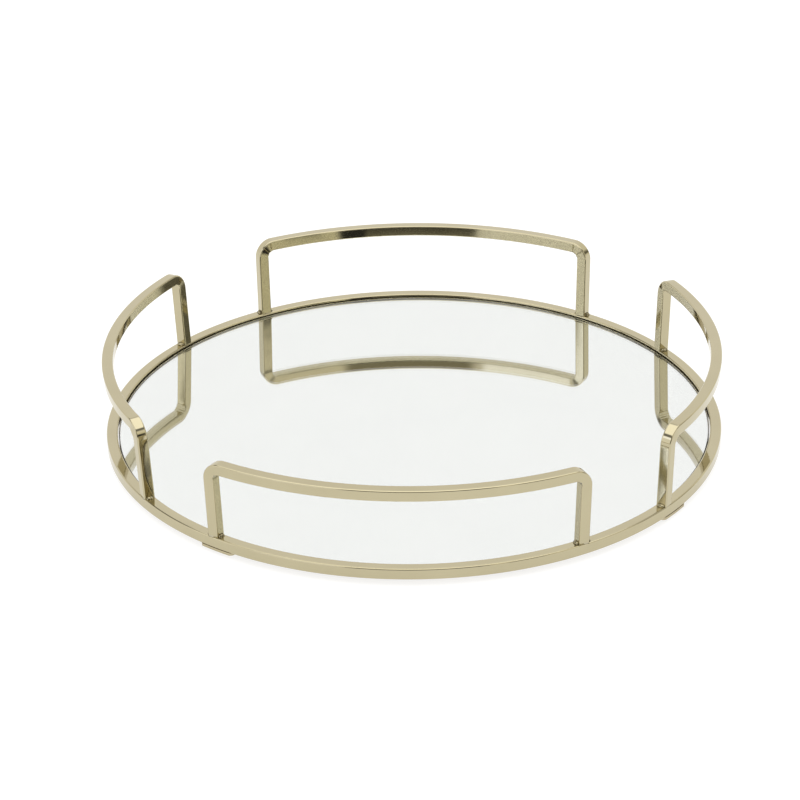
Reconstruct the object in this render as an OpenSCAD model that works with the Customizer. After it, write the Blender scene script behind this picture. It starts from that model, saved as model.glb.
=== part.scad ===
// Round vanity tray: a plated square-bar ring with four bent guard rails welded on top of it,
// carrying a mirror on a backing board that sits on four plate tabs with soft pads beneath.
// Origin: the tray's axis, on the surface that the pads stand on. +Z is up, -Y is the front.

/* [Tray] */
// Outer diameter of the base ring
ring_d = 330.2; // [200:0.1:400]
// Overall height, from the pads' soles to the top of the rails
tray_h = 53.3; // [40:0.1:90]
// Height of the ring's underside above the surface it stands on
ring_lift = 3.5; // [2.5:0.1:6]

/* [Square bar] */
// Width across the flats of the bar that the ring and the rails are bent from
bar_w = 6; // [6:0.5:8]
// Radius of the bar's rounded edges
bar_edge_r = 0.8; // [0.3:0.1:1.5]

/* [Rails] */
// Half the angle that a rail spans, from its middle to the centre of a leg
leg_angle = 34.45; // [20:0.05:40]
// Centreline radius of the bend between a rail's top and its leg
bend_r = 6.6; // [4.5:0.1:9]
// Centreline radius that the top of a rail is rolled to, a little more than the ring's
rail_r = 176; // [162:1:200]
// How far the tops of the front rail's legs lean out past the ring
front_lean = 2.5; // [0:0.1:4]
// How far the tops of the right rail's legs lean out past the ring
right_lean = 1.5; // [0:0.1:4]
// How far the tops of the rear rail's legs lean out past the ring
rear_lean = 1.3; // [0:0.1:4]
// How far the tops of the left rail's legs lean out past the ring
left_lean = 2.5; // [0:0.1:4]
// Bearing of the front rail's middle, counted about +Z from the front
front_bearing = -0.6; // [-3:0.1:3]
// Bearing of the right rail's middle
right_bearing = 89.1; // [87:0.1:93]
// Bearing of the rear rail's middle
rear_bearing = 180.4; // [177:0.1:183]
// Bearing of the left rail's middle
left_bearing = 270.6; // [267:0.1:273]

/* [Welds] */
// Leg length of the fillet beads at the rails' feet
rail_bead = 1.3; // [0.8:0.1:2]
// Leg length of the fillet beads at the ends of the tabs
tab_bead = 1; // [0.6:0.1:1.4]

/* [Tabs and pads] */
// Thickness of the plate tabs under the ring
tab_t = 1.5; // [1:0.1:2.4]
// Length of a tab along the ring
tab_length = 21; // [14:0.5:30]
// How far a tab reaches in from the ring's outer face
tab_reach = 26; // [16:0.5:40]
// Angle of the front left tab, from the front, positive to the right
first_tab_angle = -34.5; // [-45:0.5:0]
// Angle of the front right tab, from the front, positive to the right
second_tab_angle = 57; // [45:0.5:70]
// Diameter of the soft pad under each tab
pad_d = 14; // [8:0.5:18]

/* [Mirror] */
// Thickness of the mirror glass
glass_t = 2; // [1.5:0.1:2.5]
// How far the glass lies below the top of the ring
glass_drop = 1.4; // [0.5:0.1:2]
// Clearance between the mirror's edge and the ring
mirror_gap = 0.5; // [0.3:0.1:1.5]
// Thickness of the silvering and its backing paint
coating_t = 0.1; // [0.05:0.01:0.2]
// Thickness of the tape that bonds the mirror to its board
tape_t = 0.2; // [0.1:0.05:0.5]
// Width of one strip of tape
tape_w = 20; // [10:1:30]
// Thickness of the glue between the board and the tabs
glue_t = 0.3; // [0.2:0.05:0.5]

/* [Hidden] */
$fn = 96;

gold = [0.74, 0.69, 0.55];

ring_r = ring_d / 2;
ring_mid_r = ring_r - bar_w / 2;
ring_inner_r = ring_r - bar_w;
ring_top = ring_lift + bar_w;

// Every leg stands on the ring's centreline, half_span to one side of its rail's middle.
leg_h = tray_h - bar_w / 2 - ring_top;
half_span = ring_mid_r * sin(leg_angle);

// Each rail's bearing and the lean of its legs.
RAILS = [
  [front_bearing, front_lean], [right_bearing, right_lean],
  [rear_bearing, rear_lean], [left_bearing, left_lean]
];

tab_angles = [first_tab_angle, second_tab_angle, first_tab_angle + 180, second_tab_angle + 180];
tab_z = ring_lift - tab_t;
tab_corner_r = 3;
pad_r_place = ring_r - tab_reach / 2;
glue_inset = 2;

glass_z = ring_top - glass_drop - glass_t;
coating_z = glass_z - coating_t;
tape_z = coating_z - tape_t;
board_z = ring_lift + glue_t;
mirror_r = ring_inner_r - mirror_gap;
tape_rows = [-1.5, -0.5, 0.5, 1.5];
tape_pitch = 0.39 * mirror_r;
tape_end_gap = 8;

// Section of the bar, centred on its own axis.
module bar_section() {
  flat = bar_w - 2 * bar_edge_r;
  square([bar_w, flat], center = true);
  square([flat, bar_w], center = true);
  for (x = [-flat / 2, flat / 2], y = [-flat / 2, flat / 2])
    translate([x, y]) circle(r = bar_edge_r);
}

// Turns what is drawn along +X to a bearing, counted about +Z from the front, which is -Y.
module at_bearing(angle) {
  rotate([0, 0, angle - 90]) children();
}

// Half the angle of the arc of a rail's top. Each leg stands one bend radius past the arc's end,
// along the tangent there, and its top leans out from its foot across that tangent.
function half_arc(lean) =
  asin(half_span / norm([rail_r - lean, bend_r])) - atan(bend_r / (rail_r - lean));

// Place of that arc's centre along +X, next to the tray's axis.
function arc_centre(lean) =
  ring_mid_r * cos(leg_angle) - (rail_r - lean) * cos(half_arc(lean)) + bend_r * sin(half_arc(lean));

// Height of a tilted bar's highest point above its own centreline.
function rise(tilt) = (bar_w / 2 - bar_edge_r) * (cos(tilt) + sin(tilt)) + bar_edge_r;

// Turns what is drawn along +X to the arc's end on the +Y side, or mirrors it to the other end.
module at_arc_end(side, lean) {
  mirror([0, side < 0 ? 1 : 0, 0])
    translate([arc_centre(lean), 0, 0])
      rotate([0, 0, half_arc(lean)])
        translate([rail_r, 0, 0]) children();
}

// One rail, bent from a single bar, along +X. Its legs lean out by lean from foot to top.
module rail(lean) {
  tilt = atan(lean / leg_h);
  top_z = tray_h - rise(tilt);
  difference() {
    union() {
      translate([arc_centre(lean), 0, 0])
        rotate([0, 0, -half_arc(lean)])
          rotate_extrude(angle = 2 * half_arc(lean), $fn = 360)
            translate([rail_r, top_z]) rotate(-tilt) bar_section();
      for (side = [-1, 1])
        at_arc_end(side, lean) translate([0, 0, top_z]) rotate([0, tilt, 0]) {
          translate([0, 0, -bend_r]) rotate([90, 0, 90])
            rotate_extrude(angle = 90) translate([bend_r, 0]) bar_section();
          translate([0, bend_r, -leg_h - bar_w])
            linear_extrude(leg_h + bar_w - bend_r) bar_section();
        }
    }
    translate([0, -ring_r, ring_top - 3 * bar_w]) cube([2 * ring_r, ring_d, 3 * bar_w]);
  }
}

// The two fillet beads at each foot of a rail, on the ring's top along both sides of the leg.
module rail_foot_beads(lean) {
  bead_length = bar_w - 3 * bar_edge_r;
  for (side = [-1, 1])
    at_arc_end(side, lean)
      translate([-lean, bend_r, ring_top])
        for (flank = [0, 1])
          mirror([0, flank, 0])
            translate([0, bar_w / 2, 0]) quarter_bead(rail_bead, bead_length);
}

// A quarter-round bead whose straight sides lie on Y = 0 and Z = 0, centred along X.
module quarter_bead(size, length) {
  intersection() {
    rotate([0, 90, 0]) cylinder(r = size, h = length, center = true);
    translate([-length / 2, 0, 0]) cube([length, size, size]);
  }
}

// Outline of a tab along +X: its outer edge follows the ring, its corners are rounded.
module tab_outline(inset = 0) {
  corner = tab_corner_r - inset / 2;
  intersection() {
    circle(r = ring_r - inset, $fn = 360);
    translate([ring_r - tab_reach / 2, 0])
      rounded_rectangle(tab_reach - 2 * inset, tab_length - 2 * inset, corner);
  }
}

module rounded_rectangle(x, y, r) {
  square([x, y - 2 * r], center = true);
  square([x - 2 * r, y], center = true);
  for (i = [-1, 1], j = [-1, 1])
    translate([i * (x / 2 - r), j * (y / 2 - r)]) circle(r = r);
}

module tab(angle) {
  color(gold) at_bearing(angle)
    translate([0, 0, tab_z]) linear_extrude(tab_t) tab_outline();
}

module pad(angle) {
  color([0.16, 0.16, 0.17]) at_bearing(angle)
    translate([pad_r_place, 0, 0]) cylinder(d = pad_d, h = tab_z);
}

module base_ring() {
  color(gold)
    rotate_extrude($fn = 360)
      translate([ring_mid_r, ring_lift + bar_w / 2]) bar_section();
}

module front_rail() { color(gold) at_bearing(front_bearing) rail(front_lean); }
module right_rail() { color(gold) at_bearing(right_bearing) rail(right_lean); }
module rear_rail() { color(gold) at_bearing(rear_bearing) rail(rear_lean); }
module left_rail() { color(gold) at_bearing(left_bearing) rail(left_lean); }

module rail_welds() {
  color(gold)
    for (rail = RAILS)
      at_bearing(rail[0]) rail_foot_beads(rail[1]);
}

module front_left_tab() { tab(tab_angles[0]); }
module front_right_tab() { tab(tab_angles[1]); }
module rear_right_tab() { tab(tab_angles[2]); }
module rear_left_tab() { tab(tab_angles[3]); }

// Short beads under the ring, at both ends of each tab.
module tab_welds() {
  color(gold)
    for (angle = tab_angles, end = [0, 1])
      at_bearing(angle)
        mirror([0, end, 0])
          translate([ring_mid_r - tab_corner_r / 2, tab_length / 2, ring_lift])
            mirror([0, 0, 1]) quarter_bead(tab_bead, bar_w / 3);
}

module front_left_pad() { pad(tab_angles[0]); }
module front_right_pad() { pad(tab_angles[1]); }
module rear_right_pad() { pad(tab_angles[2]); }
module rear_left_pad() { pad(tab_angles[3]); }

// Thin beds of glue that hold the board down on the tabs, clear of the ring.
module tab_glue() {
  color([0.9, 0.87, 0.78])
    for (angle = tab_angles)
      at_bearing(angle) translate([0, 0, ring_lift])
        linear_extrude(glue_t) intersection() {
          tab_outline(glue_inset);
          circle(r = mirror_r - glue_inset);
        }
}

module backing_board() {
  color([0.45, 0.32, 0.2])
    translate([0, 0, board_z]) cylinder(r = mirror_r, h = tape_z - board_z, $fn = 360);
}

module bonding_tape() {
  color([0.85, 0.85, 0.8])
    for (row = tape_rows) {
      y = row * tape_pitch;
      far_y = abs(y) + tape_w / 2;
      half = sqrt(mirror_r * mirror_r - far_y * far_y) - tape_end_gap;
      translate([-half, y - tape_w / 2, tape_z]) cube([2 * half, tape_w, tape_t]);
    }
}

module mirror_coating() {
  color([0.35, 0.36, 0.38])
    translate([0, 0, coating_z]) cylinder(r = mirror_r, h = coating_t, $fn = 360);
}

module mirror_glass() {
  color([0.86, 0.92, 0.93])
    translate([0, 0, glass_z]) cylinder(r = mirror_r, h = glass_t, $fn = 360);
}

base_ring();
front_rail();
right_rail();
rear_rail();
left_rail();
rail_welds();
front_left_tab();
front_right_tab();
rear_right_tab();
rear_left_tab();
tab_welds();
front_left_pad();
front_right_pad();
rear_right_pad();
rear_left_pad();
tab_glue();
backing_board();
bonding_tape();
mirror_coating();
mirror_glass();
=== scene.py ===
import random
from math import asin, atan, atan2, cos, hypot, pi, radians, sin

import bmesh
import bpy
from mathutils import Matrix, Vector


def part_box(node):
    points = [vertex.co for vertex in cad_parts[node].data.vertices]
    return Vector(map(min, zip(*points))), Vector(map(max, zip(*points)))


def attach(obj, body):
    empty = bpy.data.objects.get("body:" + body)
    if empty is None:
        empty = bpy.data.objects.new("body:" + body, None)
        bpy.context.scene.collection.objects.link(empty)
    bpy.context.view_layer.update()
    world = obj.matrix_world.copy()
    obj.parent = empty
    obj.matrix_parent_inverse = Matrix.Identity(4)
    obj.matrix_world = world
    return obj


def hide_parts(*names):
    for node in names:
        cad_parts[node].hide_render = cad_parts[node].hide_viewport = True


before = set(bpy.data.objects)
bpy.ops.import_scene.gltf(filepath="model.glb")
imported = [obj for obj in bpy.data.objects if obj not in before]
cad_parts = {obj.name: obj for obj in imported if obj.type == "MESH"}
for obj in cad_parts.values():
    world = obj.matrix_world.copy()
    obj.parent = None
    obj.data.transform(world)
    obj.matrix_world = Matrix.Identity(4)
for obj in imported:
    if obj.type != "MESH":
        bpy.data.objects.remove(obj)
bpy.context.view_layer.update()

MM = 0.001

# The bar, and how it is bent and set on the ring. Heights and radii come from the frame.
EDGE_R = 0.8 * MM  # of the bar's rounded edges
BEND_R = 6.6 * MM  # of the middle of the bar, round each bend
LEG_ANGLE = radians(34.45)  # from a rail's middle to its legs, seen from the ring's centre
RAIL_R = 176 * MM  # of the arc that the tops of the rails are rolled to
RING_STEPS = 720
ARC_STEPS, BEND_STEPS, LEG_STEPS = 65, 24, 30  # for half a rail

ring_low, ring_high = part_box("base_ring")
RING_R = ring_high.x
RING_TOP = ring_high.z
RING_FOOT = ring_low.z
BAR = RING_TOP - RING_FOOT
RING_MID = RING_R - BAR / 2
TRAY_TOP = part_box("front_rail")[1].z
LEG_H = TRAY_TOP - BAR / 2 - RING_TOP

# Bearing of each rail, counted about +Z from the front, and how far its legs lean out.
RAILS = {
    "front_rail": (radians(-0.6), 2.5 * MM),
    "right_rail": (radians(89.1), 1.5 * MM),
    "rear_rail": (radians(180.4), 1.3 * MM),
    "left_rail": (radians(270.6), 2.5 * MM),
}

# The tabs under the ring, with the pads under them and the glue on them. The rear ones stand
# opposite the front ones.
TAB_FOOT, TAB_TOP = (corner.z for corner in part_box("front_left_tab"))
TAB_REACH = 26 * MM  # inwards, from the ring's outside
TAB_LENGTH = 21 * MM  # along the ring
TAB_CORNER = 3 * MM
TAB_EDGE = 0.18 * MM
TABS = {
    "front_left": radians(-34.5),
    "front_right": radians(57),
    "rear_right": radians(180 - 34.5),
    "rear_left": radians(180 + 57),
}
PAD_R = 7 * MM
PAD_EDGE = 0.35 * MM
PAD_RIM = 2.2 * MM  # from the pad's softened edge to the groove in its sole
GROOVE_WALL = 0.25 * MM
GROOVE_FLOOR = 0.7 * MM
GROOVE_DEPTH = 0.3 * MM
GLUE_WIDTH = 15 * MM
GLUE_CORNER = 6 * MM
GLUE_EDGE = 0.1 * MM
GLUE_R = RING_R - 17 * MM

GLASS_FOOT, GLASS_TOP = (corner.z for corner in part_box("mirror_glass"))
MIRROR_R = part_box("mirror_glass")[1].x
SILVER_MARGIN = 0.6 * MM  # of bare glass round the silvering
SILVER_SINK = 0.02 * MM
SILVER_EDGE = 0.01 * MM
MIRROR_EDGE = 0.25 * MM

# What working the bar leaves behind.
BEND_SWELL = 0.45 * MM
FOOT_DRESSING = 2.7 * MM  # how far the ground weld runs down the ring below a rail's foot
STEP_TO_RING = 0.26 * MM  # from the foot's outer face in to the ring's
RAIL_BEAD, RAIL_BEAD_LENGTH = 1.25 * MM, 3.8 * MM
TAB_BEAD, TAB_BEAD_LENGTH = 0.95 * MM, 2.0 * MM
BEAD_RIPPLES = 14  # slices that carry a bead's ripples

# The camera: a long lens from the front, a little to the right and well above the tray.
LENS, SENSOR = 139.35, 36  # as they are named on a lens, in mm
CAMERA_TURN, CAMERA_RISE, CAMERA_DISTANCE = radians(3.02), radians(26.44), 1.6632
CAMERA_PITCH, CAMERA_YAW, CAMERA_ROLL = radians(26.59), radians(-0.28), radians(-0.80)
AIM_HEIGHT = 25 * MM


# ---------------------------------------------------------------- nodes

def add(tree, kind, **settings):
    """A new node of that kind. A setting with a capital is one of its inputs, any other its own."""
    node = tree.nodes.new(kind)
    for key, value in settings.items():
        if key[0].isupper():
            node.inputs[key.replace("_", " ")].default_value = value
        else:
            setattr(node, key, value)
    return node


def new_material(name, **settings):
    """A material, its tree, and its Principled shader with these settings."""
    material = bpy.data.materials.new(name)
    material.use_nodes = True
    tree = material.node_tree
    tree.nodes.clear()
    shader = add(tree, "ShaderNodeBsdfPrincipled", **settings)
    tree.links.new(shader.outputs[0], add(tree, "ShaderNodeOutputMaterial").inputs["Surface"])
    return material, tree, shader


def mapped(tree, source, scale):
    mapping = add(tree, "ShaderNodeMapping", Scale=scale)
    tree.links.new(source, mapping.inputs["Vector"])
    return mapping.outputs["Vector"]


def on_object(tree, scale=(1, 1, 1)):
    """Object coordinates, in metres times scale."""
    return mapped(tree, add(tree, "ShaderNodeTexCoord").outputs["Object"], scale)


def on_bar(tree, scale):
    """The bar's own coordinates, two across its section and one along it, in metres times scale."""
    return mapped(tree, add(tree, "ShaderNodeAttribute", attribute_name="bar").outputs["Vector"], scale)


def apart(tree, vector):
    """The X, Y and Z of a vector."""
    parts = add(tree, "ShaderNodeSeparateXYZ")
    tree.links.new(vector, parts.inputs[0])
    return parts.outputs


def facing(tree):
    """How far the surface faces up, from -1 to 1."""
    return apart(tree, add(tree, "ShaderNodeNewGeometry").outputs["Normal"])["Z"]


def noise(tree, vector, scale, detail=3.0, roughness=0.5):
    node = add(tree, "ShaderNodeTexNoise", Scale=scale, Detail=detail, Roughness=roughness)
    tree.links.new(vector, node.inputs["Vector"])
    return node.outputs["Fac"]


def wave(tree, vector, scale, direction):
    node = add(tree, "ShaderNodeTexWave", Scale=scale, Distortion=0.4, bands_direction=direction)
    tree.links.new(vector, node.inputs["Vector"])
    return node.outputs["Fac"]


def between(tree, value, low, high, first, second, smooth=False):
    """Goes from first to second while value goes from low to high."""
    node = add(tree, "ShaderNodeMapRange", From_Min=low, From_Max=high, To_Min=first, To_Max=second)
    node.interpolation_type = "SMOOTHSTEP" if smooth else "LINEAR"
    tree.links.new(value, node.inputs["Value"])
    return node.outputs["Result"]


def arithmetic(tree, operation, *values):
    """A Math node on numbers or sockets."""
    node = add(tree, "ShaderNodeMath", operation=operation)
    for socket, value in zip(node.inputs, values):
        if isinstance(value, (int, float)):
            socket.default_value = value
        else:
            tree.links.new(value, socket)
    return node.outputs[0]


def ramp(tree, value, *stops):
    """A colour ramp from (place, colour) stops."""
    node = add(tree, "ShaderNodeValToRGB")
    elements = node.color_ramp.elements
    while len(elements) < len(stops):
        elements.new(0.5)
    for element, (place, colour) in zip(elements, stops):
        element.position = place
        element.color = (*colour, 1)
    tree.links.new(value, node.inputs["Fac"])
    return node.outputs["Color"]


def mixed(tree, share, first, second):
    """The first colour where share is 0 and the second where it is 1."""
    node = add(tree, "ShaderNodeMix", data_type="RGBA")
    factor, first_colour, second_colour = (node.inputs[place] for place in (0, 6, 7))
    tree.links.new(share, factor)
    for socket, colour in ((first_colour, first), (second_colour, second)):
        if isinstance(colour, tuple):
            socket.default_value = (*colour, 1)
        else:
            tree.links.new(colour, socket)
    return node.outputs[2]


def bump(tree, height, strength, distance, under=None):
    node = add(tree, "ShaderNodeBump", Strength=strength, Distance=distance)
    tree.links.new(height, node.inputs["Height"])
    if under is not None:
        tree.links.new(under, node.inputs["Normal"])
    return node.outputs["Normal"]


def dress(tree, shader, colour, roughness=None, normal=None):
    """Puts the colour, and the roughness and the bumps where they vary, on the shader."""
    for place, source in (("Base Color", colour), ("Roughness", roughness), ("Normal", normal)):
        if source is not None:
            tree.links.new(source, shader.inputs[place])


# ---------------------------------------------------------------- materials

def plated_bar():
    """Pale gold plate on drawn bar: bright, with faint drawing lines along it and slow waviness."""
    material, tree, shader = new_material("plated_bar", Metallic=1.0)
    lines = noise(tree, on_bar(tree, (1, 1, 0.012)), 2600, 2.0)
    cloud = noise(tree, on_object(tree), 45, 3.0)
    colour = ramp(tree, cloud, (0.3, (0.470, 0.419, 0.274)), (0.7, (0.495, 0.443, 0.292)))
    wavy = bump(tree, noise(tree, on_object(tree), 60, 1.0), 0.25, 0.12 * MM)
    mottled = bump(tree, noise(tree, on_object(tree), 420, 2.0), 0.12, 0.02 * MM, wavy)
    drawn = bump(tree, lines, 0.12, 0.01 * MM, mottled)
    dress(tree, shader, colour, between(tree, lines, 0.3, 0.7, 0.03, 0.07), drawn)
    return material


def plated_weld():
    """The same plate over rippled weld beads, with near-black specks in its colour as painted dark
    reflections.
    """
    material, tree, shader = new_material("plated_weld", Metallic=1.0)
    grain = noise(tree, on_object(tree), 1400, 3.0)
    # The near-black first stop paints dark reflections into the beads' colour as specks.
    colour = ramp(tree, grain, (0.42, (0.03, 0.025, 0.012)), (0.50, (0.36, 0.31, 0.19)),
                  (0.7, (0.49, 0.44, 0.29)))
    rough = between(tree, grain, 0.3, 0.7, 0.12, 0.04)
    dress(tree, shader, colour, rough, bump(tree, grain, 0.6, 0.06 * MM))
    return material


def plated_plate():
    """The same plate over sheared sheet: a touch duller, with fine pits."""
    material, tree, shader = new_material("plated_plate", Metallic=1.0)
    cloud = noise(tree, on_object(tree), 120, 4.0)
    colour = ramp(tree, cloud, (0.3, (0.44, 0.38, 0.25)), (0.7, (0.49, 0.43, 0.285)))
    pits = noise(tree, on_object(tree), 1500, 2.0)
    rough = between(tree, cloud, 0.3, 0.7, 0.10, 0.18)
    dress(tree, shader, colour, rough, bump(tree, pits, 0.15, 0.03 * MM))
    return material


def silvering():
    """Silver seen through the glass from above, and its grey protective paint from below."""
    material, tree, shader = new_material("silvering")
    up = facing(tree)
    haze = noise(tree, on_object(tree), 30, 2.0)
    silver = ramp(tree, haze, (0.3, (0.818, 0.827, 0.823)), (0.7, (0.828, 0.837, 0.832)))
    specks = noise(tree, on_object(tree), 900, 4.0)
    paint = ramp(tree, specks, (0.35, (0.16, 0.17, 0.18)), (0.65, (0.22, 0.23, 0.24)))
    silvered = between(tree, up, 0.4, 0.6, 0.0, 1.0)
    tree.links.new(silvered, shader.inputs["Metallic"])
    rough = between(tree, up, 0.4, 0.6, 0.55, 0.0)
    dress(tree, shader, mixed(tree, silvered, paint, silver), rough)
    return material


def clear_glass():
    """Clear float glass with the faintest green and its slow draw ripple."""
    material, tree, shader = new_material("clear_glass", Transmission_Weight=1.0, IOR=1.52,
                                          Roughness=0.0)
    cloud = noise(tree, on_object(tree), 12, 1.0)
    tint = ramp(tree, cloud, (0.3, (0.968, 0.985, 0.976)), (0.7, (0.974, 0.988, 0.980)))
    ripple = bump(tree, noise(tree, on_object(tree), 9, 1.0), 0.03, 0.1 * MM)
    dress(tree, shader, tint, normal=ripple)
    return material


def ground_edge():
    """The mirror's ground edge: frosted, gold as a painted reflection of the plated ring, dark at its
    arris.
    """
    material, tree, shader = new_material("ground_edge", Transmission_Weight=0.1, IOR=1.52)
    rise = between(tree, apart(tree, on_object(tree))["Z"], GLASS_FOOT, GLASS_TOP, 0.0, 1.0)
    grain = noise(tree, on_object(tree), 2500, 3.0)
    uneven = arithmetic(tree, "ADD", rise, between(tree, grain, 0.3, 0.7, -0.1, 0.1))
    # The warm gold low on the edge is a painted reflection of the plated ring beside it; the top turns
    # near-black.
    colour = ramp(tree, uneven, (0.2, (0.80, 0.72, 0.45)), (0.45, (0.50, 0.45, 0.27)),
                  (0.75, (0.05, 0.045, 0.03)))
    dress(tree, shader, colour, between(tree, grain, 0.3, 0.7, 0.35, 0.6))
    return material


def hardboard():
    """Brown pressed fibre: smooth above, with the press's wire-screen pattern below."""
    material, tree, shader = new_material("hardboard")
    fibres = noise(tree, on_object(tree, (1, 1, 4)), 420, 6.0, 0.65)
    patches = noise(tree, on_object(tree), 26, 3.0)
    colour = ramp(tree, arithmetic(tree, "MULTIPLY", fibres, patches),
                  (0.12, (0.105, 0.055, 0.026)), (0.24, (0.170, 0.095, 0.046)),
                  (0.40, (0.260, 0.155, 0.080)))
    screen = arithmetic(tree, "MULTIPLY", wave(tree, on_object(tree), 130, "X"),
                        wave(tree, on_object(tree), 130, "Y"))
    below = between(tree, facing(tree), -0.9, -0.5, 1.0, 0.0)
    pressed = bump(tree, arithmetic(tree, "MULTIPLY", screen, below), 0.6, 0.2 * MM)
    rough = between(tree, fibres, 0.3, 0.7, 0.55, 0.8)
    dress(tree, shader, colour, rough, bump(tree, fibres, 0.35, 0.1 * MM, pressed))
    return material


def soft_pad():
    """Black anti-slip rubber with a fine moulded grain and a little dust."""
    material, tree, shader = new_material("soft_pad")
    grain = noise(tree, on_object(tree), 2200, 3.0)
    dust = noise(tree, on_object(tree), 300, 4.0)
    colour = ramp(tree, dust, (0.4, (0.016, 0.016, 0.017)), (0.75, (0.045, 0.044, 0.043)))
    rough = between(tree, grain, 0.3, 0.7, 0.6, 0.85)
    dress(tree, shader, colour, rough, bump(tree, grain, 0.5, 0.06 * MM))
    return material


def set_glue():
    """Hot-melt glue, set: milky amber and smooth, with small bubbles."""
    material, tree, shader = new_material("glue", Subsurface_Weight=0.3, Subsurface_Scale=MM)
    cloud = noise(tree, on_object(tree), 260, 3.0)
    colour = ramp(tree, cloud, (0.3, (0.62, 0.52, 0.33)), (0.7, (0.76, 0.68, 0.49)))
    bubbles = bump(tree, noise(tree, on_object(tree), 700, 2.0), 0.3, 0.1 * MM)
    dress(tree, shader, colour, between(tree, cloud, 0.3, 0.7, 0.25, 0.45), bubbles)
    return material


def tissue_tape():
    """Double-sided tissue tape: off-white, with long soft fibres in it."""
    material, tree, shader = new_material("tape")
    fibres = noise(tree, on_object(tree, (0.25, 1, 1)), 700, 5.0, 0.7)
    colour = ramp(tree, fibres, (0.35, (0.56, 0.54, 0.47)), (0.65, (0.76, 0.74, 0.67)))
    rough = between(tree, fibres, 0.3, 0.7, 0.35, 0.6)
    dress(tree, shader, colour, rough, bump(tree, fibres, 0.3, 0.05 * MM))
    return material


# ---------------------------------------------------------------- mesh tools

def of_kind(geometry, kind):
    return [item for item in geometry if isinstance(item, kind)]


def ends_of(edges):
    """The vertices of these edges, each once, in a steady order."""
    return list(dict.fromkeys(vert for edge in edges for vert in edge.verts))


def everything(bm):
    return bm.verts[:] + bm.edges[:] + bm.faces[:]


def transform(bm, matrix, verts=None):
    bmesh.ops.transform(bm, matrix=matrix, verts=verts or bm.verts[:])


def spin(bm, edges, angle, steps, centre=(0, 0, 0), axis=(0, 0, 1), full=False):
    """Spins edges about an axis and returns the edges they end at."""
    made = bmesh.ops.spin(bm, geom=edges + ends_of(edges), cent=centre, axis=axis,
                          angle=angle, steps=steps, use_merge=full)
    return of_kind(made["geom_last"], bmesh.types.BMEdge)


def draw_on(bm, edges, move, steps):
    """Draws edges on along move in equal steps and returns the edges they end at."""
    for _ in range(steps):
        made = bmesh.ops.extrude_edge_only(bm, edges=edges)["geom"]
        fresh = of_kind(made, bmesh.types.BMVert)
        edges = [edge for edge in of_kind(made, bmesh.types.BMEdge) if set(edge.verts) <= set(fresh)]
        bmesh.ops.translate(bm, vec=Vector(move) / steps, verts=fresh)
    return edges


def cut_away(bm, point, normal):
    """Cuts off what lies beyond a plane on its normal's side, and closes the cut."""
    cut = bmesh.ops.bisect_plane(bm, geom=everything(bm), dist=1e-7, plane_co=point,
                                 plane_no=normal, clear_outer=True)["geom_cut"]
    bmesh.ops.holes_fill(bm, edges=of_kind(cut, bmesh.types.BMEdge), sides=0)


def thicken(bm, face, depth):
    """Turns a face into a plate, by drawing a copy of it along +Z."""
    made = bmesh.ops.extrude_face_region(bm, geom=[face], use_keep_orig=True)["geom"]
    bmesh.ops.translate(bm, vec=(0, 0, depth), verts=of_kind(made, bmesh.types.BMVert))
    bmesh.ops.recalc_face_normals(bm, faces=bm.faces[:])


def join_in(bm, one):
    """Moves the whole of one bmesh into another."""
    scratch = bpy.data.meshes.new("scratch")
    one.to_mesh(scratch)
    one.free()
    bm.from_mesh(scratch)
    bpy.data.meshes.remove(scratch)


def soften(bm, size, segments=2, angle=radians(40)):
    """Bevels every edge where the surface turns by more than angle."""
    sharp = [e for e in bm.edges if len(e.link_faces) == 2 and e.calc_face_angle() > angle]
    bmesh.ops.bevel(bm, geom=sharp, offset=size, offset_type="OFFSET", affect="EDGES",
                    segments=segments, profile=0.5, material=-1, clamp_overlap=True)


def rounded_rectangle(bm, length, width, radius, segments=8):
    """A rectangular face in the XY plane about the origin, with rounded corners."""
    corners = bmesh.ops.create_grid(bm, x_segments=1, y_segments=1, size=0.5)["verts"]
    bmesh.ops.scale(bm, vec=(length, width, 1), verts=corners)
    bmesh.ops.bevel(bm, geom=corners, offset=radius, offset_type="OFFSET", affect="VERTICES",
                    segments=segments, profile=0.5, material=-1)
    return bm.faces[:][-1]


def disc(radius, low, high, edge, sides=360):
    """A flat disc with softened edges."""
    bm = bmesh.new()
    bmesh.ops.create_circle(bm, cap_ends=True, segments=sides, radius=radius)
    bmesh.ops.translate(bm, vec=(0, 0, low), verts=bm.verts[:])
    thicken(bm, bm.faces[:][0], high - low)
    soften(bm, edge)
    return bm


def standing(bm, name, materials):
    """An object in the scene with this mesh and these materials."""
    mesh = bpy.data.meshes.new(name)
    bm.to_mesh(mesh)
    bm.free()
    for material in materials:
        mesh.materials.append(material)
    thing = bpy.data.objects.new(name, mesh)
    bpy.context.scene.collection.objects.link(thing)
    return thing


def make_piece(bm, name, materials, node):
    """Makes the piece for a node: faces outwards, curved faces smooth and level ones flat."""
    bmesh.ops.remove_doubles(bm, verts=bm.verts[:], dist=1e-7)
    bmesh.ops.recalc_face_normals(bm, faces=bm.faces[:])
    for face in bm.faces:
        face.smooth = abs(face.normal.z) < 0.99999
    piece = standing(bm, name, materials)
    weighted = piece.modifiers.new("true_flats", "WEIGHTED_NORMAL")
    weighted.weight = 80
    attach(piece, "root")
    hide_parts(node)


def at_bearing(angle):
    """Turns what is made along +X to a bearing counted about +Z from the front, which is -Y."""
    return Matrix.Rotation(angle - pi / 2, 4, "Z")


# ---------------------------------------------------------------- the plated frame

UPRIGHT = Matrix.Rotation(pi / 2, 4, "X")


def bar_coordinates(bm):
    """Each vertex's place in the bar: across its section twice, and along it."""
    return bm.verts.layers.float_vector.get("bar") or bm.verts.layers.float_vector.new("bar")


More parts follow.
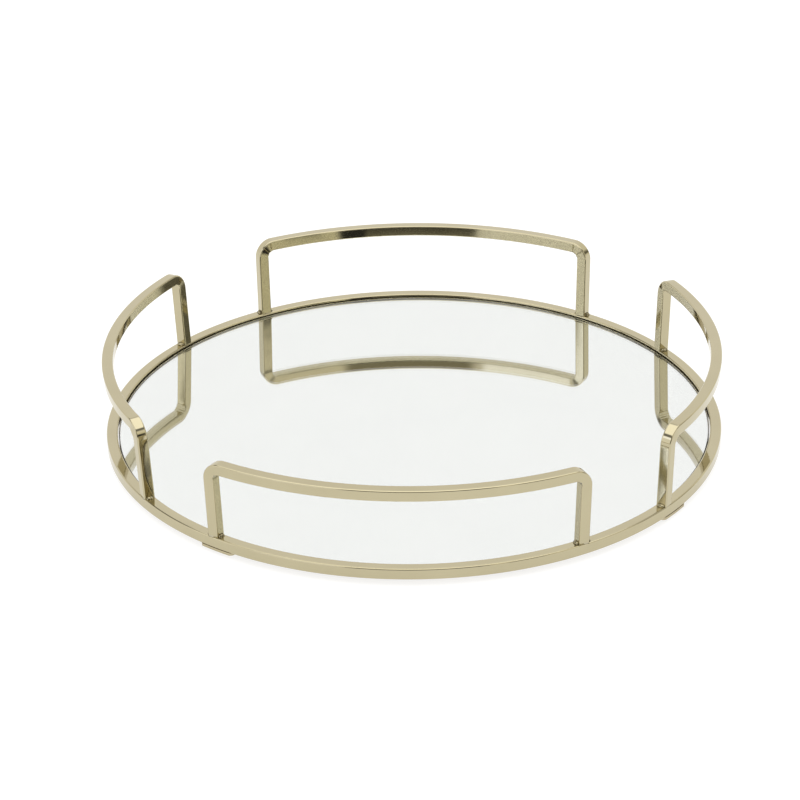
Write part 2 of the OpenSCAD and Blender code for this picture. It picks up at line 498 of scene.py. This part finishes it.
def bar_outline(bm, place):
    """The bar's outline as a loop of edges, set in place by a matrix."""
    bar = bar_coordinates(bm)
    face = rounded_rectangle(bm, BAR, BAR, EDGE_R, 7)
    outline = list(face.edges)
    for vert in face.verts:
        vert[bar] = vert.co
    bmesh.ops.delete(bm, geom=[face], context="FACES_ONLY")
    transform(bm, place, ends_of(outline))
    return outline


def ring_bar(material):
    """The base ring: the bar's outline spun once round the tray's axis."""
    bm = bmesh.new()
    outline = bar_outline(bm, Matrix.Translation((RING_MID, 0, RING_FOOT + BAR / 2)) @ UPRIGHT)
    spin(bm, outline, 2 * pi, RING_STEPS, full=True)
    bar = bar_coordinates(bm)
    for vert in bm.verts:
        vert[bar].z = RING_MID * abs(atan2(vert.co.y, vert.co.x))
    make_piece(bm, "ring_bar", [material], "base_ring")


def half_arc(lean):
    """Half the angle of the arc of a rail's top."""
    reach = RAIL_R - lean
    return asin(RING_MID * sin(LEG_ANGLE) / hypot(reach, BEND_R)) - atan(BEND_R / reach)


def arc_centre(lean):
    """The place of that arc's centre, next to the tray's axis."""
    half = half_arc(lean)
    x = RING_MID * cos(LEG_ANGLE) - (RAIL_R - lean) * cos(half) + BEND_R * sin(half)
    return Matrix.Translation((x, 0, 0))


def rail_top(lean):
    """The bar at a rail's middle, from the arc's centre: +X outwards, +Y along, +Z up, tilted."""
    tilt = atan(lean / LEG_H)
    rise = (BAR / 2 - EDGE_R) * (cos(tilt) + sin(tilt)) + EDGE_R
    return Matrix.Translation((RAIL_R, 0, TRAY_TOP - rise)) @ Matrix.Rotation(tilt, 4, "Y")


def work_bend(bm, end, draw):
    """Works one bend: the bar swells beside the inside of the bend and flattens on the outside.

    In end's frame X runs across the bar, Y on along it and Z up. turn is the angle gone round the
    bend, inside goes from 0 on its outer face to 1 on its inner face, share is how hard the bar was
    worked there, and pinched adds the small folds that crowd the inner face.
    """
    back = end.inverted()
    swell = [BEND_SWELL * draw.uniform(0.8, 1.2) for _ in range(2)]
    crease = radians(draw.uniform(40, 50))
    for vert in bm.verts:
        across, along, up = back @ vert.co
        height = up + BEND_R
        if min(along, height) < -BEND_R / 3:
            continue
        turn, reach = atan2(along, height), hypot(along, height)
        inside = (BEND_R + BAR / 2 - reach) / BAR
        share = max(0.0, cos((turn - crease) * 1.6)) ** 2
        side = 1 if across > 0 else -1
        edge = min(1.0, abs(across) / (BAR / 2 - EDGE_R))
        across += side * edge * swell[side > 0] * share * (1.4 * inside ** 3 - 0.25)
        flattened = 0.9 * (1 - inside) ** 2 * (1 - 0.5 * edge ** 2)
        pinched = inside ** 4 * (0.8 + 0.35 * cos(11 * (turn - crease)))
        reach -= BEND_SWELL * share * (flattened - pinched)
        vert.co = end @ Vector((across, reach * sin(turn), reach * cos(turn) - BEND_R))


def rail_bar(name, material, draw):
    """One guard rail: half its arc, a bend and a leg, mirrored, then worked and set in place."""
    bearing, lean = RAILS[name]
    centre = arc_centre(lean)
    end = centre @ Matrix.Rotation(half_arc(lean), 4, "Z") @ rail_top(lean)
    turned = end.to_3x3()
    bm = bmesh.new()
    edges = bar_outline(bm, centre @ rail_top(lean) @ UPRIGHT)
    edges = spin(bm, edges, half_arc(lean), ARC_STEPS, centre=centre.translation)
    edges = spin(bm, edges, -pi / 2, BEND_STEPS, centre=end @ Vector((0, 0, -BEND_R)),
                 axis=turned @ Vector((1, 0, 0)))
    draw_on(bm, edges, turned @ Vector((0, 0, -LEG_H)), LEG_STEPS)
    cut_away(bm, (0, 0, RING_TOP), (0, 0, -1))
    bmesh.ops.mirror(bm, geom=everything(bm), axis="Y", merge_dist=1e-6)
    bar = bar_coordinates(bm)
    for vert in bm.verts:
        vert[bar].z = RING_MID * atan2(vert.co.y, vert.co.x) + TRAY_TOP - vert.co.z
    for side in (1, -1):
        work_bend(bm, Matrix.Diagonal((1, side, 1, 1)) @ end, draw)
    transform(bm, at_bearing(bearing))
    make_piece(bm, name + "_bar", [material], name)


def rail_feet():
    """The place of each rail foot on the ring: +X outwards, +Y on along the rail, +Z up the leg."""
    for bearing, lean in RAILS.values():
        for side in (1, -1):
            turn = arc_centre(lean) @ Matrix.Rotation(half_arc(lean), 4, "Z")
            foot = Matrix.Translation((RAIL_R - lean, BEND_R, RING_TOP))
            tilt = Matrix.Rotation(atan(lean / LEG_H), 4, "Y")
            yield at_bearing(bearing) @ Matrix.Diagonal((1, side, 1, 1)) @ turn @ foot, tilt


def run_bead(bm, place, length, size, draw):
    """A fillet bead along X in the corner between the planes Y = 0 and Z = 0, rippled as it was run."""
    one = bmesh.new()
    bmesh.ops.create_cone(one, cap_ends=True, segments=24, radius1=size, radius2=size, depth=length)
    transform(one, Matrix.Rotation(pi / 2, 4, "Y"))
    for step in range(1, BEAD_RIPPLES):
        bmesh.ops.bisect_plane(one, geom=everything(one), dist=1e-8, plane_no=(1, 0, 0),
                               plane_co=(length * (step / BEAD_RIPPLES - 0.5), 0, 0))
    pitch = length / draw.uniform(4.5, 6.0)
    phase = draw.uniform(0, pi)
    for vert in one.verts:
        end = abs(2 * vert.co.x / length)
        ripple = 1 + 0.16 * abs(sin(pi * vert.co.x / pitch + phase))
        size_here = ripple * (1 - 0.45 * end ** 4)
        vert.co.y *= size_here
        vert.co.z *= size_here
    cut_away(one, (0, 0, 0), (0, -1, 0))
    cut_away(one, (0, 0, 0), (0, 0, -1))
    transform(one, place)
    if place.determinant() < 0:
        bmesh.ops.reverse_faces(one, faces=one.faces[:])
    join_in(bm, one)


def dress_foot(bm, place, tilt):
    """The weld under a rail's foot, ground so that the leg's face runs out into the ring's."""
    one = bmesh.new()
    edges = bar_outline(one, tilt)
    bmesh.ops.holes_fill(one, edges=edges, sides=0)
    last = draw_on(one, edges, tilt @ Vector((0, 0, -FOOT_DRESSING)), 8)
    bmesh.ops.holes_fill(one, edges=last, sides=0)
    for vert in one.verts:
        share = min(1.0, -vert.co.z / FOOT_DRESSING)
        if vert.co.x > 0:
            vert.co.x -= STEP_TO_RING * share * share * (3 - 2 * share)
        else:
            vert.co.x += BAR / 4
    transform(one, place)
    join_in(bm, one)


def rail_welds(materials, draw):
    """Two beads and the ground weld at each rail foot."""
    bm = bmesh.new()
    for place, _ in rail_feet():
        for flank in (1, -1):
            corner = Matrix.Diagonal((1, flank, 1, 1)) @ Matrix.Translation((0, BAR / 2, 0))
            run_bead(bm, place @ corner, RAIL_BEAD_LENGTH, RAIL_BEAD, draw)
    beads = len(bm.faces)
    for place, tilt in rail_feet():
        dress_foot(bm, place, tilt)
    bm.faces.ensure_lookup_table()
    for face in bm.faces[beads:]:
        face.material_index = 1
    make_piece(bm, "rail_weld_beads", materials, "rail_welds")


def tab_welds(material, draw):
    """Short beads under the ring at both ends of each tab."""
    bm = bmesh.new()
    for bearing in TABS.values():
        for end in (1, -1):
            place = Matrix.Translation((RING_MID - TAB_CORNER / 2, TAB_LENGTH / 2, TAB_TOP))
            flipped = Matrix.Diagonal((1, end, 1, 1)) @ place @ Matrix.Diagonal((1, 1, -1, 1))
            run_bead(bm, at_bearing(bearing) @ flipped, TAB_BEAD_LENGTH, TAB_BEAD, draw)
    make_piece(bm, "tab_weld_beads", [material], "tab_welds")


def tab_plate(name, bearing, material):
    """A plate tab under the ring: its outer edge follows the ring, its edges are lightly broken."""
    bm = bmesh.new()
    face = rounded_rectangle(bm, TAB_REACH, TAB_LENGTH, TAB_CORNER)
    outer = [edge for edge in face.edges if all(v.co.x > TAB_REACH / 2 - 1e-6 for v in edge.verts)]
    bmesh.ops.subdivide_edges(bm, edges=outer, cuts=14)
    bmesh.ops.translate(bm, vec=(RING_R - TAB_REACH / 2, 0, TAB_FOOT), verts=bm.verts[:])
    for vert in bm.verts:
        beyond = vert.co.xy.length / RING_R
        if beyond > 1:
            vert.co.xy /= beyond
    thicken(bm, bm.faces[:][0], TAB_TOP - TAB_FOOT)
    soften(bm, TAB_EDGE)
    transform(bm, at_bearing(bearing))
    make_piece(bm, name + "_tab_plate", [material], name + "_tab")


def pad(name, bearing, material):
    """A round soft pad with rounded edges and a ring groove in its sole."""
    bm = bmesh.new()
    bmesh.ops.create_circle(bm, cap_ends=True, segments=64, radius=PAD_R)
    thicken(bm, bm.faces[:][0], TAB_FOOT)
    soften(bm, PAD_EDGE, 4)
    sole = min(bm.faces, key=lambda face: face.calc_center_median().z)
    for width, depth in ((PAD_RIM, 0), (GROOVE_WALL, -GROOVE_DEPTH), (GROOVE_FLOOR, 0),
                         (GROOVE_WALL, GROOVE_DEPTH)):
        bmesh.ops.inset_region(bm, faces=[sole], thickness=width, depth=depth)
    bmesh.ops.translate(bm, vec=(RING_R - TAB_REACH / 2, 0, 0), verts=bm.verts[:])
    transform(bm, at_bearing(bearing))
    make_piece(bm, name + "_soft_pad", [material], name + "_pad")


# ---------------------------------------------------------------- the mirror and what holds it

def glue_beds(material, draw):
    """A pressed-out bed of glue on each tab, under the board."""
    low, high = (corner.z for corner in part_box("tab_glue"))
    bm = bmesh.new()
    for bearing in TABS.values():
        one = bmesh.new()
        face = rounded_rectangle(one, GLUE_WIDTH, GLUE_WIDTH, GLUE_CORNER, 10)
        bmesh.ops.subdivide_edges(one, edges=list(face.edges), cuts=2)
        phases = [draw.uniform(0, 2 * pi) for _ in range(3)]
        for vert in one.verts:
            turn = atan2(vert.co.y, vert.co.x)
            vert.co *= 1 + sum(0.02 * sin((k + 2) * turn + phase) for k, phase in enumerate(phases))
        thicken(one, one.faces[:][0], high - low)
        soften(one, GLUE_EDGE)
        transform(one, at_bearing(bearing) @ Matrix.Translation((GLUE_R, 0, low)))
        join_in(bm, one)
    make_piece(bm, "glue_beds", [material], "tab_glue")


def backing(material):
    """The round board under the mirror."""
    low, high = (corner.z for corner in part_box("backing_board"))
    bm = disc(MIRROR_R, low, high, MIRROR_EDGE)
    make_piece(bm, "board", [material], "backing_board")


def silver_layer(material):
    """The silvering, set a hair into the glass, so that it is seen without a film of air."""
    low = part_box("mirror_coating")[0].z
    bm = disc(MIRROR_R - SILVER_MARGIN, low, GLASS_FOOT + SILVER_SINK, SILVER_EDGE)
    make_piece(bm, "silver_layer", [material], "mirror_coating")


def mirror_pane(glass, edge):
    """The mirror's glass, with its ground edge as a second material."""
    bm = disc(MIRROR_R, GLASS_FOOT, GLASS_TOP, MIRROR_EDGE)
    for face in bm.faces:
        face.normal_update()
        face.material_index = 0 if abs(face.normal.z) > 0.99 else 1
    make_piece(bm, "mirror_pane", [glass, edge], "mirror_glass")


# ---------------------------------------------------------------- the studio

def studio_floor():
    """A plain pale floor: white and matt, and lit a little from below like a light table."""
    material, tree, shader = new_material("floor", Roughness=0.9, Emission_Strength=0.80)
    shader.inputs["Specular IOR Level"].default_value = 0.0
    shader.inputs["Emission Color"].default_value = (1, 1, 1, 1)
    cloud = noise(tree, on_object(tree), 3, 2.0)
    colour = ramp(tree, cloud, (0.3, (0.295, 0.295, 0.295)), (0.7, (0.305, 0.305, 0.305)))
    tree.links.new(colour, shader.inputs["Base Color"])
    bm = bmesh.new()
    bmesh.ops.create_grid(bm, x_segments=8, y_segments=8, size=6)
    standing(bm, "floor", [material])


# The studio round the tray, as panels on a far sphere: bearing from the front and height above the
# horizon, both in degrees, each from low to high, then how soft the panel's border is and its
# light. A later panel lies over an earlier one.
WALL = (1.11, 1.10, 1.09)
ALL_ROUND = (-400, 400)  # so wide that no border of the panel falls within the circle
PANELS = [
    ("dimmer right wall", (58, 150), (-90, 40), 8, (1.10, 1.08, 0.98)),
    ("right of the camera", (28, 58), (-90, 27), 3, (1.01, 0.97, 0.78)),
    ("higher on the right", (28, 62), (27, 38), 1.5, (1.15, 1.12, 1.02)),
    ("dark stand on the right", (88, 121), (6, 24), 3.5, (0.20, 0.19, 0.15)),
    ("left of the camera", (-70, -24), (-5, 26), 3, (1.28, 1.28, 1.28)),
    ("low fill on the left", (-85, -62), (-5, 32), 4, (1.50, 1.50, 1.50)),
    ("fill panel on the left", (-61, -24), (26, 37), 1.5, (1.83, 1.90, 2.20)),
    ("gap beside the fill panel", (-66, -58.6), (26, 28.6), 0.6, (0.50, 0.48, 0.40)),
    ("gap under the softbox", ALL_ROUND, (40, 49), 3, (0.90, 0.90, 0.90)),
    ("gap in front", (-100, 110), (37, 50), 3, (0.30, 0.30, 0.30)),
    ("gap high on the left", (-138, -95), (31, 50), 3, (0.10, 0.10, 0.10)),
    ("overhead softbox", ALL_ROUND, (50, 100), 3, (1.85, 1.85, 1.85)),
    ("camera side", (-20, 28), (0, 37), 2.5, (0.40, 0.38, 0.31)),
    ("camera stand", (-21, 29), (-2, 20), 2, (0.04, 0.04, 0.04)),
    ("edge of the camera side", (19, 28), (15, 26), 1.5, (0.05, 0.05, 0.05)),
    ("low gap on the right", (35, 49), (-2, 19), 2, (0.05, 0.05, 0.05)),
    ("strap on the right", (51, 56), (27.6, 28.6), 0.4, (0.12, 0.12, 0.12)),
]


def studio_light():
    """A bright round studio as the world: pale walls, a softbox above, and a few dark gaps."""
    world = bpy.data.worlds.new("studio")
    bpy.context.scene.world = world
    world.use_nodes = True
    tree = world.node_tree
    tree.nodes.clear()
    x, y, z = apart(tree, add(tree, "ShaderNodeTexCoord").outputs["Generated"])
    front = arithmetic(tree, "MULTIPLY", y, -1.0)
    bearing = arithmetic(tree, "DEGREES", arithmetic(tree, "ARCTAN2", x, front))
    height = arithmetic(tree, "DEGREES", arithmetic(tree, "ARCSINE", z))
    light = WALL
    for _, turns, heights, soft, colour in PANELS:
        share = None
        for value, (low, high) in ((bearing, turns), (height, heights)):
            for edge, first, second in ((low, 0.0, 1.0), (high, 1.0, 0.0)):
                inside = between(tree, value, edge - soft, edge + soft, first, second, smooth=True)
                share = inside if share is None else arithmetic(tree, "MULTIPLY", share, inside)
        light = mixed(tree, share, light, colour)
    background = add(tree, "ShaderNodeBackground", Strength=1.0)
    tree.links.new(light, background.inputs["Color"])
    tree.links.new(background.outputs[0], add(tree, "ShaderNodeOutputWorld").inputs["Surface"])


def studio_camera():
    """Sets the camera on its arc, turns it to the tray and rolls it a touch."""
    data = bpy.data.cameras.new("camera")
    data.lens, data.sensor_width = LENS, SENSOR
    data.clip_start, data.clip_end = 0.05, 50
    camera = bpy.data.objects.new("camera", data)
    bpy.context.scene.collection.objects.link(camera)
    bpy.context.scene.camera = camera
    place = Vector((0, -cos(CAMERA_RISE), sin(CAMERA_RISE))) * CAMERA_DISTANCE
    place.z += AIM_HEIGHT
    ahead = Vector((sin(CAMERA_YAW) * cos(CAMERA_PITCH), cos(CAMERA_YAW) * cos(CAMERA_PITCH),
                    -sin(CAMERA_PITCH)))
    level_right = ahead.cross(Vector((0, 0, 1))).normalized()
    level_up = level_right.cross(ahead)
    right = level_right * cos(CAMERA_ROLL) + level_up * sin(CAMERA_ROLL)
    up = level_up * cos(CAMERA_ROLL) - level_right * sin(CAMERA_ROLL)
    axes = Matrix((right, up, -ahead)).transposed().to_4x4()
    turn = Matrix.Rotation(CAMERA_TURN, 4, "Z")
    camera.matrix_world = turn @ Matrix.Translation(place) @ axes


draw = random.Random(13)
bar = plated_bar()
weld = plated_weld()
plate = plated_plate()
rubber = soft_pad()

ring_bar(bar)
for rail in RAILS:
    rail_bar(rail, bar, draw)
rail_welds([weld, bar], draw)
for tab, tab_bearing in TABS.items():
    tab_plate(tab, tab_bearing, plate)
    pad(tab, tab_bearing, rubber)
tab_welds(weld, draw)
glue_beds(set_glue(), draw)
backing(hardboard())
silver_layer(silvering())
mirror_pane(clear_glass(), ground_edge())
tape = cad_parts["bonding_tape"].data.materials
tape.clear()
tape.append(tissue_tape())

studio_floor()
studio_light()
studio_camera()
bpy.context.scene.view_settings.view_transform = "Standard"
